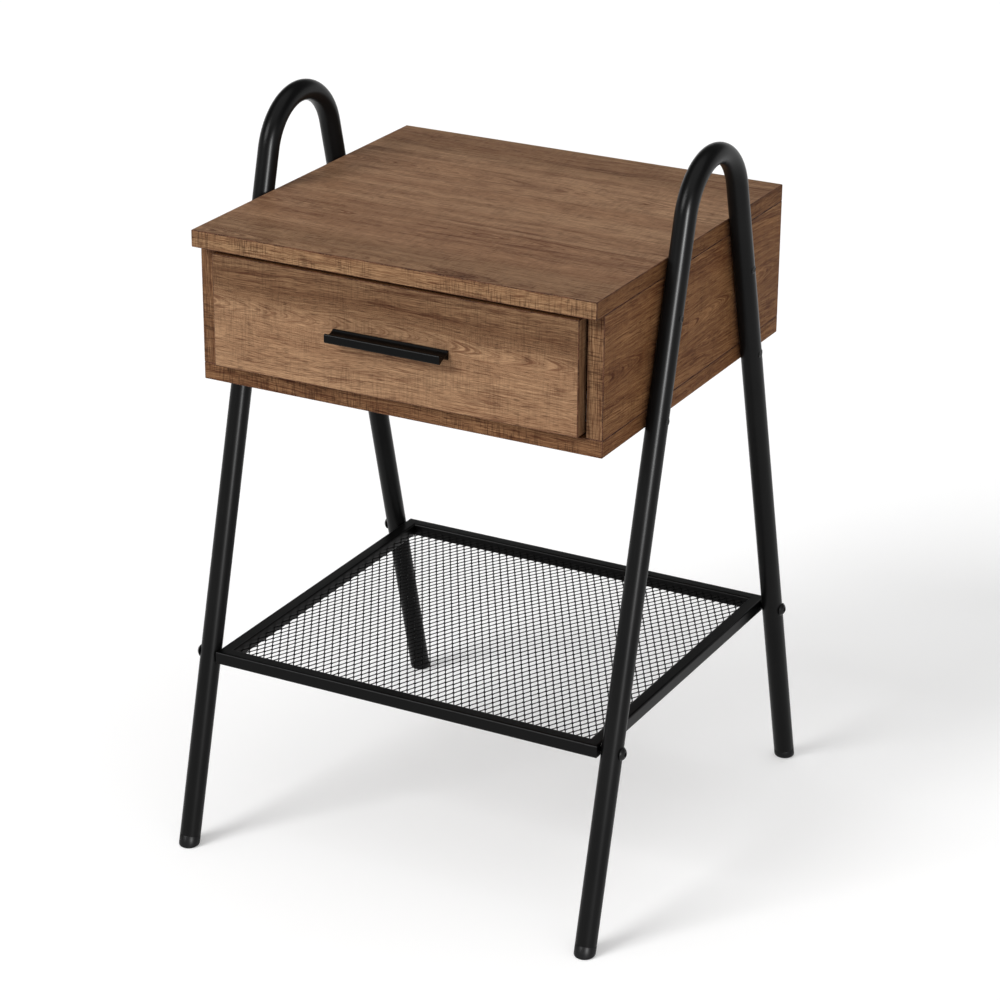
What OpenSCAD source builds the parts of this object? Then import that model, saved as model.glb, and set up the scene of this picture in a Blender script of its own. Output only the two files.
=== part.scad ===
// Side table: a board cabinet with one drawer, held between two hooped tube frames,
// with a mesh shelf bolted between the legs below it.
// Millimetres. Origin on the floor under the middle of the frames, +Z up, front towards -Y.

/* [Table top and cabinet] */
// Width of the top and of the cabinet
top_w = 380; // [370:1:400]
// Depth of the top
top_d = 362; // [350:1:380]
// Height of the top face above the floor
top_z = 576; // [560:1:590]
// Thickness of the top, bottom and side boards
board_t = 15; // [15:1:16]
// Height of the drawer opening
opening_h = 107; // [107:1:112]
// How far the top stands forward of the cabinet
top_overhang = 14; // [8:1:20]
// Distance from the middle of the frames to the back of the cabinet
cabinet_back_y = 172; // [168:1:180]
// Thickness of the hardboard back and drawer bottom
hardboard_t = 3; // [2.5:0.5:4]

/* [Drawer] */
// Height of the drawer front
front_h = 100; // [98:1:102]
// Gap between the drawer front and each side board
front_side_gap = 2.5; // [1.5:0.5:3]
// Gap under the drawer front
front_bottom_gap = 3; // [2:0.5:4]
// How far the drawer front stands forward of the cabinet
front_proud = 10; // [6:1:11]
// Length of the drawer sides
drawer_len = 300; // [290:5:310]
// Height of the drawer sides
drawer_side_h = 80; // [76:1:82]
// Thickness of the drawer sides and back
drawer_side_t = 12; // [12:1:13]
// Room for a roller slide on each side of the drawer
slide_room = 12.5; // [12.5:0.1:12.8]

/* [Handle] */
// Length of the handle bar
handle_len = 109; // [105:1:130]
// Height of the handle bar's section
handle_h = 8; // [7:0.5:10]
// Depth of the handle bar's section
handle_depth = 16; // [15:0.5:20]
// Height of the narrow middle of the section
handle_web = 2.4; // [2.2:0.2:4]
// Distance between the two handle screws
handle_screw_span = 96; // [64:32:96]

/* [Side frames] */
// Outside diameter of the frame tube
tube_d = 19; // [18:0.5:22]
// Wall of the frame tube
tube_wall = 1.2; // [1:0.1:1.5]
// Half the distance between the two feet of one frame
foot_spread = 211; // [205:1:220]
// Lean of each leg from upright, in degrees
leg_lean = 14.7; // [14:0.1:15.5]
// Radius of the hoop at the top, to the middle of the tube
hoop_r = 53; // [50:1:56]
// Clearance between a frame and the cabinet side
frame_gap = 0.3; // [0.3:0.1:0.6]

/* [Shelf] */
// Width of the shelf frame
shelf_w = 379; // [376:1:379]
// Depth of the shelf frame
shelf_d = 348; // [344:1:350]
// Height of the shelf's top face above the floor
shelf_top_z = 179; // [170:1:190]
// Outside size of the square shelf tube
shelf_tube = 12; // [12:1:14]
// Wall of the shelf tube
shelf_wall = 1; // [0.8:0.1:1.2]
// Thickness of the shelf mesh
mesh_t = 1.5; // [1:0.5:2]
// Distance between neighbouring strands of the mesh
mesh_pitch = 36; // [30:1:50]
// Width of a strand of the mesh
mesh_strand = 3.5; // [2:0.5:5]

/* [Hidden] */
$fn = 64;
EPS = 0.01;
wood = "#7f614a";
wood_dark = "#6c4e39";
black = "#1b1b1d";
steel = "#b9bcc0";
zinc = "#8e9196";
white = "#e9e8e3";
raw_board = "#a98f6d";

// Cabinet
half_w = top_w / 2;
inner_x = half_w - board_t;
top_under = top_z - board_t;
floor_top = top_under - opening_h;
cabinet_z = floor_top - board_t;
front_y = cabinet_back_y - (top_d - top_overhang);
top_front_y = front_y - top_overhang;
cabinet_d = cabinet_back_y - front_y;
side_mid_x = half_w - board_t / 2;
groove_deep = 5;
groove_w = hardboard_t + 0.2;
back_y = cabinet_back_y - 12;
fit = 0.1;

// Fittings that join the boards
cam_y = [-130, 120];
cam_down = 24;
cam_d = 15;
cam_deep = 12.5;
cam_bolt_d = 7;
dowel_d = 8;
dowel_len = 28;
dowel_short = 10;
top_dowel_y = [-98, 90];
floor_dowel_y = [-60, 50];
long_screw_y = [-140, 130];
long_screw_len = 50;

// Drawer
front_w = 2 * (inner_x - front_side_gap);
front_z = floor_top + front_bottom_gap;
face_y = front_y - front_proud;
box_y = face_y + board_t;
box_x = inner_x - slide_room;
box_in_x = box_x - drawer_side_t;
box_z = floor_top + 12;
box_back_y = box_y + drawer_len;
bottom_z = box_z + 6;
side_screw_z = [box_z + 30, box_z + 62];
small_cam_d = 12;
small_cam_deep = 9.5;
small_cam_back = 24;
handle_z = front_z + front_h / 2;
handle_lip = 1.5;
handle_bite = 3.6;

// Roller slides, given for the right-hand side
sheet_t = 1.2;
roller_d = 14;
roller_w = 7.6;
pin_d = 4;
pin_clear = 0.08;
channel_x = 164.9;
channel_z = box_z;
channel_h = 22;
channel_lip = 7;
channel_len = 300;
channel_y = front_y + 6;
track_z = channel_z + sheet_t;
fixed_roller_y = channel_y + 9;
fixed_roller_z = track_z + roller_d / 2 + 1.3;
moving_roller_y = box_back_y - 11;
moving_roller_z = track_z + roller_d / 2 + 0.3;
rail_top_z = fixed_roller_z + roller_d / 2 + 0.3 + sheet_t;
rail_wrap = 10;
rail_out_x = 171.5;
fixed_screw_y = [-120, -10, 90];
moving_screw_y = [-140, -20, 90];
screw_z = channel_z + 11;

// Side frames
frame_x = half_w + frame_gap + tube_d / 2;
tube_in_d = tube_d - 2 * tube_wall;
hoop_z = (foot_spread - hoop_r / cos(leg_lean)) / tan(leg_lean);
leg_len = (hoop_z + hoop_r * sin(leg_lean)) / cos(leg_lean);
cap_head = 10;
cap_stem = 16;
frame_bolt_z = [top_under - 31.5, cabinet_z + board_t / 2];
frame_bolt_d = 6;
frame_bolt_len = 30;
frame_head_d = 8.5;
frame_head_h = 2;
insert_d = 9;
insert_len = [13, 20];

// Shelf
shelf_mid_z = shelf_top_z - shelf_tube / 2;
mesh_lean = 30;
mesh_edge = 1.5;
shelf_bolt_len = 28;
shelf_head_d = 12;
shelf_head_h = 3.5;

function leg_y(z) = foot_spread - z * tan(leg_lean);

// A box given by its lowest and highest corners
module block(low, high) {
    translate(low) cube(high - low);
}

// A cylinder that runs along X from x = at.x towards +X
module rod_x(at, d, h) {
    translate(at) rotate([0, 90, 0]) cylinder(d = d, h = h);
}

// A cylinder that runs along Y from y = at.y towards +Y
module rod_y(at, d, h) {
    translate(at) rotate([-90, 0, 0]) cylinder(d = d, h = h);
}

// A cylinder that runs along Z from z = at.z towards +Z
module rod_z(at, d, h) {
    translate(at) cylinder(d = d, h = h);
}

// Its children on the right, or their mirror image on the left
module on_side(right) {
    mirror([right ? 0 : 1, 0, 0]) children();
}

// Its children on both sides
module both_sides() {
    for (right = [true, false]) on_side(right) children();
}

// Screw with a domed head and a six-sided socket; the shank points down from z = 0
module bolt(d, len, head_d, head_h, key) {
    ball = (head_d * head_d / 4 + head_h * head_h) / (2 * head_h);
    difference() {
        union() {
            translate([0, 0, -len]) cylinder(d = d, h = len);
            intersection() {
                cylinder(d = head_d, h = head_h);
                translate([0, 0, head_h - ball]) sphere(r = ball);
            }
        }
        translate([0, 0, head_h * 0.35]) cylinder(d = key, h = head_h, $fn = 6);
    }
}

// Screw with a flat head let in flush at z = 0; the shank points down
module flat_screw(d, len, head_d, head_h) {
    difference() {
        union() {
            translate([0, 0, -len]) cylinder(d = d, h = len);
            translate([0, 0, -head_h]) cylinder(d = head_d, h = head_h);
        }
        for (turn = [0, 90]) rotate([0, 0, turn])
            translate([0, 0, -head_h * 0.3]) cube([head_d * 0.6, d * 0.25, head_h], center = true);
    }
}

// ---- Cabinet ----

module top_panel() {
    color(wood) difference() {
        block([-half_w, top_front_y, top_under], [half_w, cabinet_back_y, top_z]);
        block([-inner_x - groove_deep, back_y, top_under - EPS],
            [inner_x + groove_deep, back_y + groove_w, top_under + groove_deep]);
        both_sides() {
            for (y = cam_y) rod_z([side_mid_x, y, top_under - EPS], 5 + fit, 11.2);
            for (y = top_dowel_y) rod_z([side_mid_x, y, top_under - EPS], dowel_d + fit, dowel_short + 0.5);
        }
    }
}

module bottom_panel() {
    color(wood) difference() {
        block([-half_w, front_y, cabinet_z], [half_w, cabinet_back_y, floor_top]);
        block([-inner_x - groove_deep, back_y, floor_top - groove_deep],
            [inner_x + groove_deep, back_y + groove_w, floor_top + EPS]);
        both_sides() {
            for (y = long_screw_y) {
                rod_z([side_mid_x, y, cabinet_z - EPS], 7 + fit, board_t + 1);
                rod_z([side_mid_x, y, cabinet_z - EPS], 10 + fit, 3 + EPS);
            }
            for (y = floor_dowel_y)
                rod_z([side_mid_x, y, floor_top - dowel_short - 0.5], dowel_d + fit, dowel_short + 1);
            for (end = [-1, 1])
                rod_x([half_w - insert_len[1] - 0.5, end * leg_y(frame_bolt_z[1]), frame_bolt_z[1]],
                    insert_d + fit, insert_len[1] + 1);
        }
    }
}

module side_board() {
    difference() {
        block([inner_x, front_y, floor_top], [half_w, cabinet_back_y, top_under]);
        block([inner_x - EPS, back_y, floor_top - 1], [inner_x + groove_deep, back_y + groove_w, top_under + 1]);
        for (y = cam_y) {
            rod_x([inner_x - EPS, y, top_under - cam_down], cam_d + fit, cam_deep + EPS);
            rod_z([side_mid_x, y, top_under - cam_down], cam_bolt_d + 1, cam_down + 1);
        }
        for (y = top_dowel_y)
            rod_z([side_mid_x, y, top_under - dowel_len + dowel_short - 0.5], dowel_d + fit, dowel_len);
        for (y = floor_dowel_y)
            rod_z([side_mid_x, y, floor_top - 1], dowel_d + fit, dowel_len - dowel_short + 1.5);
        for (y = long_screw_y)
            rod_z([side_mid_x, y, floor_top - 1], 5 + fit, long_screw_len - board_t + 1.5);
        for (y = fixed_screw_y) rod_x([inner_x - 1, y, screw_z], 3.5 + fit, 12.5);
        for (end = [-1, 1])
            rod_x([half_w - insert_len[0] - 0.5, end * leg_y(frame_bolt_z[0]), frame_bolt_z[0]],
                insert_d + fit, insert_len[0] + 1);
    }
}

module side_panel_left() color(wood) on_side(false) side_board();
module side_panel_right() color(wood) on_side(true) side_board();

module back_panel() {
    slip = groove_deep - 0.2;
    color(wood_dark) block([-inner_x - slip, back_y + fit, floor_top - slip],
        [inner_x + slip, back_y + fit + hardboard_t, top_under + slip]);
}

module cam_locks() {
    color(zinc) both_sides() for (y = cam_y) difference() {
        rod_x([inner_x, y, top_under - cam_down], cam_d - fit, cam_deep - 0.3);
        rod_z([side_mid_x, y, top_under - cam_down - 4], cam_bolt_d + 1, cam_d);
        for (turn = [0, 90])
            translate([inner_x, y, top_under - cam_down]) rotate([turn, 0, 0])
                cube([4, 1.2, 8], center = true);
    }
}

module cam_bolts() {
    neck = 4;
    color(steel) both_sides() for (y = cam_y) {
        rod_z([side_mid_x, y, top_under - cam_down - 2.5], cam_bolt_d, 3);
        rod_z([side_mid_x, y, top_under - cam_down + 0.5], neck, cam_down - 2.5);
        rod_z([side_mid_x, y, top_under - 2], cam_bolt_d, 2);
        rod_z([side_mid_x, y, top_under], 5, 11);
    }
}

module long_screws() {
    color(zinc) both_sides() for (y = long_screw_y) difference() {
        union() {
            rod_z([side_mid_x, y, cabinet_z + 0.3], 10, 2.5);
            rod_z([side_mid_x, y, cabinet_z + 2.8], 7, board_t - 2.8);
            rod_z([side_mid_x, y, floor_top], 5, long_screw_len - board_t);
        }
        translate([side_mid_x, y, cabinet_z]) cylinder(d = 4.6, h = 2.3, $fn = 6);
    }
}

module wood_dowels() {
    color(raw_board) both_sides() {
        for (y = top_dowel_y) rod_z([side_mid_x, y, top_under - dowel_len + dowel_short], dowel_d, dowel_len);
        for (y = floor_dowel_y) rod_z([side_mid_x, y, floor_top - dowel_short], dowel_d, dowel_len);
    }
}

// ---- Drawer ----

module drawer_front() {
    color(wood) difference() {
        block([-front_w / 2, face_y, front_z], [front_w / 2, box_y, front_z + front_h]);
        block([-box_in_x - groove_deep, box_y - groove_deep, bottom_z],
            [box_in_x + groove_deep, box_y + EPS, bottom_z + groove_w]);
        both_sides() {
            rod_y([handle_screw_span / 2, face_y - 1, handle_z], 4.4, board_t + 2);
            for (z = side_screw_z)
                rod_y([box_x - drawer_side_t / 2, box_y - 11.2, z], 5 + fit, 12);
        }
    }
}

module drawer_side() {
    mid_x = box_x - drawer_side_t / 2;
    difference() {
        block([box_in_x, box_y, box_z], [box_x, box_back_y, box_z + drawer_side_h]);
        block([box_in_x - EPS, box_y - 1, bottom_z], [box_in_x + groove_deep, box_back_y + 1, bottom_z + groove_w]);
        for (z = side_screw_z) {
            rod_x([box_in_x - EPS, box_y + small_cam_back, z], small_cam_d + fit, small_cam_deep + EPS);
            rod_y([mid_x, box_y - 1, z], 6.4, small_cam_back + 1);
            rod_x([box_in_x - 1, box_back_y - drawer_side_t / 2, z], 4 + fit, drawer_side_t + 2);
            rod_x([box_x - 2.2, box_back_y - drawer_side_t / 2, z], 7.4, 3);
        }
        for (y = moving_screw_y) rod_x([box_x - 10, y, screw_z], 3.2 + fit, 11);
    }
}

module drawer_side_left() color(wood_dark) on_side(false) drawer_side();
module drawer_side_right() color(wood_dark) on_side(true) drawer_side();

module drawer_back() {
    color(wood_dark) difference() {
        block([-box_in_x, box_back_y - drawer_side_t, bottom_z + groove_w],
            [box_in_x, box_back_y, box_z + drawer_side_h]);
        both_sides() for (z = side_screw_z)
            rod_x([box_in_x - 19, box_back_y - drawer_side_t / 2, z], 4 + fit, 20);
        for (x = [-80, 0, 80])
            rod_z([x, box_back_y - drawer_side_t / 2, bottom_z], 3 + fit, 14);
    }
}

module drawer_bottom() {
    slip = groove_deep - 0.2;
    color(raw_board) difference() {
        block([-box_in_x - slip, box_y - slip, bottom_z + fit],
            [box_in_x + slip, box_back_y, bottom_z + fit + hardboard_t]);
        for (x = [-80, 0, 80])
            rod_z([x, box_back_y - drawer_side_t / 2, bottom_z - 1], 3 + fit, hardboard_t + 2);
    }
}

module drawer_bottom_screws() {
    color(steel) for (x = [-80, 0, 80])
        translate([x, box_back_y - drawer_side_t / 2, bottom_z + fit]) rotate([180, 0, 0])
            bolt(3, 13, 6, 1.6, 1.5);
}

// The handle is an extruded bar with a hollow along its top and underside
module drawer_handle() {
    scoop = (handle_h - handle_web) / 2;
    chord = handle_depth - 2 * handle_lip;
    scoop_r = (chord * chord / 4 + scoop * scoop) / (2 * scoop);
    color(black) difference() {
        block([-handle_len / 2, face_y - handle_depth, handle_z - handle_h / 2],
            [handle_len / 2, face_y, handle_z + handle_h / 2]);
        for (up = [-1, 1])
            rod_x([-handle_len / 2 - 1, face_y - handle_depth / 2,
                handle_z + up * (handle_web / 2 + scoop_r)], 2 * scoop_r, handle_len + 2);
        both_sides() rod_y([handle_screw_span / 2, face_y - handle_bite, handle_z], 4 + fit, 5);
    }
}

module handle_screws() {
    color(steel) both_sides()
        translate([handle_screw_span / 2, box_y, handle_z]) rotate([-90, 0, 0])
            bolt(4, board_t + handle_bite - 0.4, 8, 2.4, 2.5);
}

module drawer_cam_locks() {
    color(zinc) both_sides() for (z = side_screw_z) difference() {
        rod_x([box_in_x, box_y + small_cam_back, z], small_cam_d - fit, small_cam_deep - 0.3);
        rod_y([box_x - drawer_side_t / 2, box_y, z], 6.4, small_cam_back + 3);
        for (turn = [0, 90])
            translate([box_in_x, box_y + small_cam_back, z]) rotate([turn, 0, 0])
                cube([3, 1, 6.5], center = true);
    }
}

module drawer_cam_bolts() {
    mid_x = box_x - drawer_side_t / 2;
    color(steel) both_sides() for (z = side_screw_z) {
        rod_y([mid_x, box_y - 11, z], 5, 11);
        rod_y([mid_x, box_y, z], 6, 2);
        rod_y([mid_x, box_y + 2, z], 3.5, small_cam_back - 2.5);
        rod_y([mid_x, box_y + small_cam_back - 0.5, z], 6, 2.5);
    }
}

module drawer_back_screws() {
    color(zinc) both_sides() for (z = side_screw_z)
        translate([box_x, box_back_y - drawer_side_t / 2, z]) rotate([0, 90, 0])
            flat_screw(4, 30, 7.2, 2.1);
}

// ---- Roller slides ----

module cabinet_runner() {
    web_x = inner_x - sheet_t;
    low_y = channel_y;
    high_y = channel_y + channel_len;
    difference() {
        union() {
            block([web_x, low_y, channel_z], [inner_x, high_y, channel_z + channel_h]);
            block([channel_x, low_y, channel_z], [web_x, high_y, track_z]);
            block([web_x - channel_lip, low_y, channel_z + channel_h - sheet_t],
                [web_x, high_y, channel_z + channel_h]);
            block([channel_x, channel_y + 44, track_z], [web_x - 2, channel_y + 44 + sheet_t, track_z + 3.6]);
        }
        for (y = fixed_screw_y) rod_x([web_x - 1, y, screw_z], 7, sheet_t + 2);
        rod_x([web_x - 1, fixed_roller_y, fixed_roller_z], pin_d + 0.04, sheet_t + 2);
    }
}

module cabinet_runner_left() color(white) on_side(false) cabinet_runner();
module cabinet_runner_right() color(white) on_side(true) cabinet_runner();

module drawer_runner() {
    web_x = box_x;
    difference() {
        union() {
            block([web_x, box_y, box_z - sheet_t], [web_x + sheet_t, box_back_y, rail_top_z]);
            block([web_x - rail_wrap, box_y, box_z - sheet_t], [web_x, box_back_y, box_z]);
            block([web_x + sheet_t, box_y, rail_top_z - sheet_t], [rail_out_x, box_back_y, rail_top_z]);
        }
        for (y = moving_screw_y) rod_x([web_x - 1, y, screw_z], 6.4, sheet_t + 2);
        rod_x([web_x - 1, moving_roller_y, moving_roller_z], pin_d + 0.04, sheet_t + 2);
    }
}

module drawer_runner_left() color(white) on_side(false) drawer_runner();
module drawer_runner_right() color(white) on_side(true) drawer_runner();

// Roller on the right-hand side, with its bore along X and a rounded tread
module roller(x, y, z) {
    edge = 0.8;
    translate([x, y, z]) rotate([0, 90, 0]) difference() {
        rotate_extrude() polygon([[0, 0], [roller_d / 2 - edge, 0], [roller_d / 2, edge],
            [roller_d / 2, roller_w - edge], [roller_d / 2 - edge, roller_w], [0, roller_w]]);
        translate([0, 0, -1]) cylinder(d = pin_d + 2 * pin_clear, h = roller_w + 2);
    }
}

module cabinet_roller() roller(165.2, fixed_roller_y, fixed_roller_z);
module drawer_roller() roller(164.6, moving_roller_y, moving_roller_z);
module cabinet_roller_left() color("#dcdcd6") on_side(false) cabinet_roller();
module cabinet_roller_right() color("#dcdcd6") on_side(true) cabinet_roller();
module drawer_roller_left() color("#dcdcd6") on_side(false) drawer_roller();
module drawer_roller_right() color("#dcdcd6") on_side(true) drawer_roller();

module cabinet_roller_pins() {
    color(steel) both_sides() {
        rod_x([164.2, fixed_roller_y, fixed_roller_z], 6.5, 0.8);
        rod_x([165, fixed_roller_y, fixed_roller_z], pin_d, inner_x - 165);
    }
}

module drawer_roller_pins() {
    color(steel) both_sides() {
        rod_x([box_x, moving_roller_y, moving_roller_z], pin_d, 172.4 - box_x);
        rod_x([172.4, moving_roller_y, moving_roller_z], 6.5, 0.8);
    }
}

module cabinet_runner_screws() {
    color(zinc) both_sides() for (y = fixed_screw_y)
        translate([inner_x - sheet_t, y, screw_z]) rotate([0, -90, 0])
            flat_screw(3.5, 12.2, 6.8, sheet_t);
}

module drawer_runner_screws() {
    color(zinc) both_sides() for (y = moving_screw_y)
        translate([box_x + sheet_t, y, screw_z]) rotate([0, 90, 0])
            flat_screw(3.2, 10.8, 6.2, sheet_t);
}

// ---- Side frames ----

// Its children in a leg's own frame: z runs up the leg from the floor
module on_leg(rear) {
    mirror([0, rear ? 1 : 0, 0]) translate([frame_x, -foot_spread, 0]) rotate([-leg_lean, 0, 0]) children();
}

// Two legs and the hoop that joins them, as one round bar; a thin collar closes each bend line
module frame_bar(d, low) {
    collar = 0.3;
    for (rear = [false, true]) on_leg(rear) {
        translate([0, 0, low]) cylinder(d = d, h = leg_len - low);
        translate([0, 0, leg_len - collar]) cylinder(d = d + 0.02, h = 2 * collar);
    }
    translate([frame_x, 0, hoop_z]) rotate([90, 0, 90]) rotate([0, 0, leg_lean])
        rotate_extrude(angle = 180 - 2 * leg_lean) translate([hoop_r, 0]) circle(d = d);
}

module side_frame() {
    difference() {
        frame_bar(tube_d, cap_head);
        frame_bar(tube_in_d, cap_head - EPS);
        for (end = [-1, 1]) {
            for (z = frame_bolt_z)
                rod_x([half_w, end * leg_y(z), z], frame_bolt_d + 0.4, tube_d + 2);
            rod_x([half_w, end * leg_y(shelf_mid_z), shelf_mid_z], frame_bolt_d + 0.4, tube_d + 2);
        }
    }
}

module side_frame_left() color(black) on_side(false) side_frame();
module side_frame_right() color(black) on_side(true) side_frame();

// End plug with its foot cut level with the floor
module foot_cap(rear) {
    difference() {
        on_leg(rear) {
            translate([0, 0, -cap_head]) cylinder(d = tube_d, h = 2 * cap_head);
            translate([0, 0, cap_head]) cylinder(d = tube_in_d - 2 * fit, h = cap_stem);
        }
        block([0, -foot_spread - 40, -40], [frame_x + 40, foot_spread + 40, 0]);
    }
}

module foot_cap_front_left() color(black) on_side(false) foot_cap(false);
module foot_cap_front_right() color(black) on_side(true) foot_cap(false);
module foot_cap_rear_left() color(black) on_side(false) foot_cap(true);
module foot_cap_rear_right() color(black) on_side(true) foot_cap(true);

module frame_bolts() {
    color(black) both_sides() for (end = [-1, 1]) for (z = frame_bolt_z)
        translate([frame_x + tube_d / 2, end * leg_y(z), z]) rotate([0, 90, 0])
            bolt(frame_bolt_d, frame_bolt_len, frame_head_d, frame_head_h, 4);
}

module board_inserts() {
    color(steel) both_sides() for (end = [-1, 1]) for (i = [0, 1])
        difference() {
            rod_x([half_w - insert_len[i], end * leg_y(frame_bolt_z[i]), frame_bolt_z[i]],
                insert_d, insert_len[i] - 0.5);
            rod_x([half_w - insert_len[i] + 1, end * leg_y(frame_bolt_z[i]), frame_bolt_z[i]],
                frame_bolt_d + fit, insert_len[i]);
        }
}

// ---- Shelf ----

// A square ring, given by the distance of its faces from the middle of the tube
module shelf_ring(reach) {
    x = shelf_w / 2 - shelf_tube / 2;
    y = shelf_d / 2 - shelf_tube / 2;
    difference() {
        block([-x - reach, -y - reach, shelf_mid_z - reach], [x + reach, y + reach, shelf_mid_z + reach]);
        block([-x + reach, -y + reach, shelf_mid_z - reach - 1], [x - reach, y - reach, shelf_mid_z + reach + 1]);
    }
}

module shelf_frame() {
    color(black) difference() {
        shelf_ring(shelf_tube / 2);
        shelf_ring(shelf_tube / 2 - shelf_wall);
        both_sides() for (end = [-1, 1])
            rod_x([shelf_w / 2 - shelf_tube / 2, end * leg_y(shelf_mid_z), shelf_mid_z],
                insert_d + fit, shelf_tube);
    }
}

// Two crossing sets of strands inside an edge strip, cut to the opening of the frame
module shelf_mesh() {
    x = shelf_w / 2 - shelf_tube;
    y = shelf_d / 2 - shelf_tube;
    reach = norm([x, y]);
    steps = ceil(reach / mesh_pitch);
    color(black) translate([0, 0, shelf_mid_z - mesh_t / 2]) linear_extrude(mesh_t) {
        intersection() {
            square([2 * x, 2 * y], center = true);
            for (lean = [-mesh_lean, mesh_lean]) rotate(lean) for (i = [-steps:steps])
                translate([i * mesh_pitch, 0]) square([mesh_strand, 2 * reach + mesh_pitch], center = true);
        }
        difference() {
            square([2 * x, 2 * y], center = true);
            square([2 * x - 2 * mesh_edge, 2 * y - 2 * mesh_edge], center = true);
        }
    }
}

module shelf_bolts() {
    color(black) both_sides() for (end = [-1, 1])
        translate([frame_x + tube_d / 2, end * leg_y(shelf_mid_z), shelf_mid_z]) rotate([0, 90, 0])
            bolt(frame_bolt_d, shelf_bolt_len, shelf_head_d, shelf_head_h, 4);
}

module shelf_nuts() {
    color(steel) both_sides() for (end = [-1, 1]) difference() {
        rod_x([shelf_w / 2 - 10.4, end * leg_y(shelf_mid_z), shelf_mid_z], insert_d, 10.4);
        rod_x([shelf_w / 2 - 11, end * leg_y(shelf_mid_z), shelf_mid_z], frame_bolt_d + fit, 12);
    }
}

top_panel();
bottom_panel();
side_panel_left();
side_panel_right();
back_panel();
drawer_front();
drawer_side_left();
drawer_side_right();
drawer_back();
drawer_bottom();
drawer_handle();
handle_screws();
drawer_cam_locks();
drawer_cam_bolts();
drawer_back_screws();
drawer_bottom_screws();
cabinet_runner_left();
cabinet_runner_right();
drawer_runner_left();
drawer_runner_right();
cabinet_roller_left();
cabinet_roller_right();
drawer_roller_left();
drawer_roller_right();
cabinet_roller_pins();
drawer_roller_pins();
cabinet_runner_screws();
drawer_runner_screws();
side_frame_left();
side_frame_right();
foot_cap_front_left();
foot_cap_front_right();
foot_cap_rear_left();
foot_cap_rear_right();
frame_bolts();
board_inserts();
shelf_frame();
shelf_mesh();
shelf_bolts();
shelf_nuts();
cam_locks();
cam_bolts();
long_screws();
wood_dowels();
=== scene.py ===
"""Looks for the side table: bevelled boards in wood-grain laminate, powder-coated tubes, an expanded-metal
shelf, and the fittings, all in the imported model's frame. Lengths are metres unless a name ends in _mm."""

import math

import bmesh
import bpy
from mathutils import Matrix, Vector


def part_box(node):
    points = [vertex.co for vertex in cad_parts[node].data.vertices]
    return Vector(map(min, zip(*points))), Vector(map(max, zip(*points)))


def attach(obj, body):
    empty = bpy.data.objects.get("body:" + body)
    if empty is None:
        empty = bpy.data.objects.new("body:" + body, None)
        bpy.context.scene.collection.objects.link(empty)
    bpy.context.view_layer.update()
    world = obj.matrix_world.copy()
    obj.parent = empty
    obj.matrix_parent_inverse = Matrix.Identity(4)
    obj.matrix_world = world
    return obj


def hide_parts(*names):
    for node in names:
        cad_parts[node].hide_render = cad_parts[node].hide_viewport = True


MM = 0.001

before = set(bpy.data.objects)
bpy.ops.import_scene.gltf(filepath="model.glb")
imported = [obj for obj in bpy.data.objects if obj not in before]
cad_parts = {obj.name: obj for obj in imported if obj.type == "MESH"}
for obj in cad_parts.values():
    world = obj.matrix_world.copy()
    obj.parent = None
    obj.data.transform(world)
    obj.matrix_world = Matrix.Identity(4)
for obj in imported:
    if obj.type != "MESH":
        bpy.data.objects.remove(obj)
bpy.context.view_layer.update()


# ---- Sizes, as in the design ----

LEAN = math.radians(14.7)
TUBE_R = 9.4 * MM
TUBE_WALL = 1.2 * MM
FOOT_Y = 211 * MM
FRAME_X = 199.8 * MM
HOOP_R = 53 * MM
CAP_HEAD = 10 * MM
CAP_PLUG = 16 * MM
SHELF_X = 183.5 * MM
SHELF_Y = 168 * MM
SHELF_Z = 173 * MM
SHELF_TUBE = 12 * MM
FRAME_BOLT_HEIGHTS = (529.5 * MM, 446.5 * MM)
HANDLE_Z = 507 * MM
HANDLE_BACK_Y = -186 * MM
HANDLE_LEN = 109 * MM
HANDLE_DEPTH = 16 * MM
HANDLE_HIGH = 8 * MM
HANDLE_WEB = 2.4 * MM
HANDLE_LIP = 1.5 * MM
HOOP_Z = FOOT_Y / math.tan(LEAN) - HOOP_R / math.sin(LEAN)

TUBE_SIDES = 44
ON_PLANE = 0.01 * MM


# ---- Node helpers ----


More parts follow.
